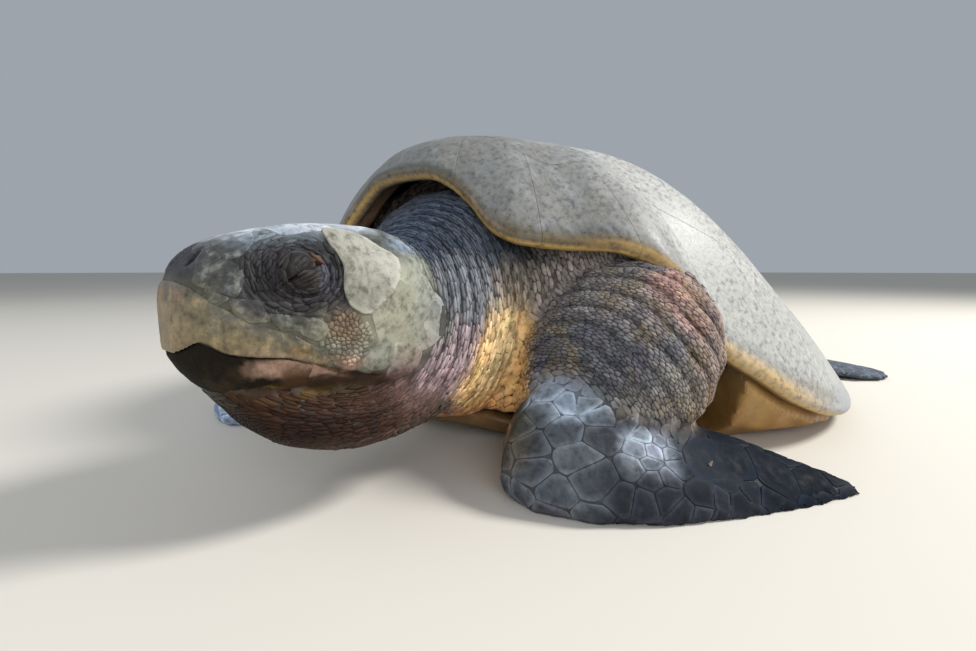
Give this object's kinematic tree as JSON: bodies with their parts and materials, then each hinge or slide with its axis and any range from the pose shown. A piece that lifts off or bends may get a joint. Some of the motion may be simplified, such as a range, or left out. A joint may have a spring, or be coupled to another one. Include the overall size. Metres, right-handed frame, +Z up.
{
  "type": "sea turtle model",
  "caption": "Life-size still model of an adult olive sea turtle lying on its belly plate, head forward, front flippers folded back along the sides.",
  "frame": {"origin": "on the floor under the middle of the shell, on the flat underside of the belly plate", "axes": "head towards -Y, tail towards +Y, the animal's left side towards +X, +Z up"},
  "size_m": [0.675, 0.825, 0.255],
  "materials": {
    "shell_horn": "worn keratin scutes, dull satin with fine scratches",
    "belly_plate": "smooth ochre horn plates, satin",
    "skin": "wrinkled scaly reptile skin, damp satin",
    "beak_horn": "chipped keratin, satin",
    "eye": "wet, glossy and dark",
    "claw_horn": "blunt keratin, satin"
  },
  "bodies": {
    "root": {"bridge_left": "belly_plate", "bridge_right": "belly_plate", "claw_left": "claw_horn", "claw_right": "claw_horn", "costal_scutes_left": "shell_horn", "costal_scutes_right": "shell_horn", "eye_left": "eye", "eye_right": "eye", "forearm_left": "skin", "forearm_right": "skin", "front_flipper_left": "skin", "front_flipper_right": "skin", "head": "skin", "hind_flipper_left": "skin", "hind_flipper_right": "skin", "lower_beak": "beak_horn", "lower_jaw": "skin", "marginal_scutes_left": "shell_horn", "marginal_scutes_right": "shell_horn", "neck": "skin", "nuchal_scute": "shell_horn", "plastron": "belly_plate", "tail": "skin", "thigh_left": "skin", "thigh_right": "skin", "throat": "skin", "trunk": "skin", "upper_arm_left": "skin", "upper_arm_right": "skin", "upper_beak": "beak_horn", "vertebral_scutes": "shell_horn"}
  },
  "joints": []
}
